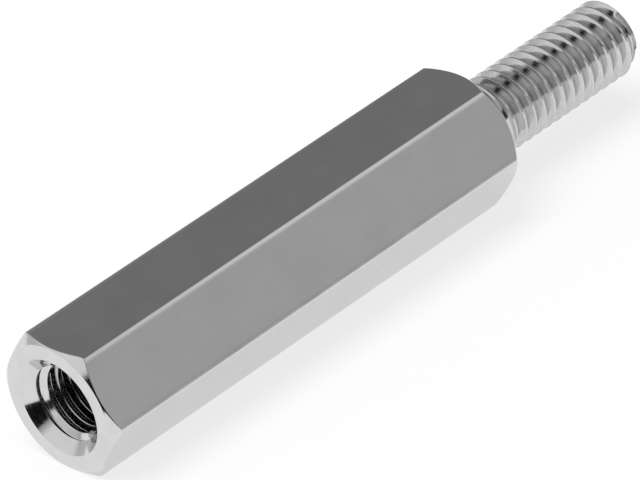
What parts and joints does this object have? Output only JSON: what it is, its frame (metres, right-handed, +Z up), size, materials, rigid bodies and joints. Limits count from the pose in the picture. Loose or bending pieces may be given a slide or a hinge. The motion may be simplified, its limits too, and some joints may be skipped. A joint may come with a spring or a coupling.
{
  "type": "hex standoff",
  "caption": "Bright plated male-female hex standoff: hexagonal spacer with a countersunk tapped blind hole in one end and a threaded stud on the other.",
  "frame": {"origin": "on the surface that the lowest flat lies on, under the middle of the whole length", "axes": "+X along the standoff's axis from the tapped end to the stud's tip, +Z up out of the top flat, +Y across two corners"},
  "size_m": [0.0274, 0.0054, 0.0047],
  "materials": {
    "bright_plating": "bright neutral grey plating over turned metal, slightly satin flats"
  },
  "bodies": {
    "root": {"standoff_body": "bright_plating"}
  },
  "joints": []
}
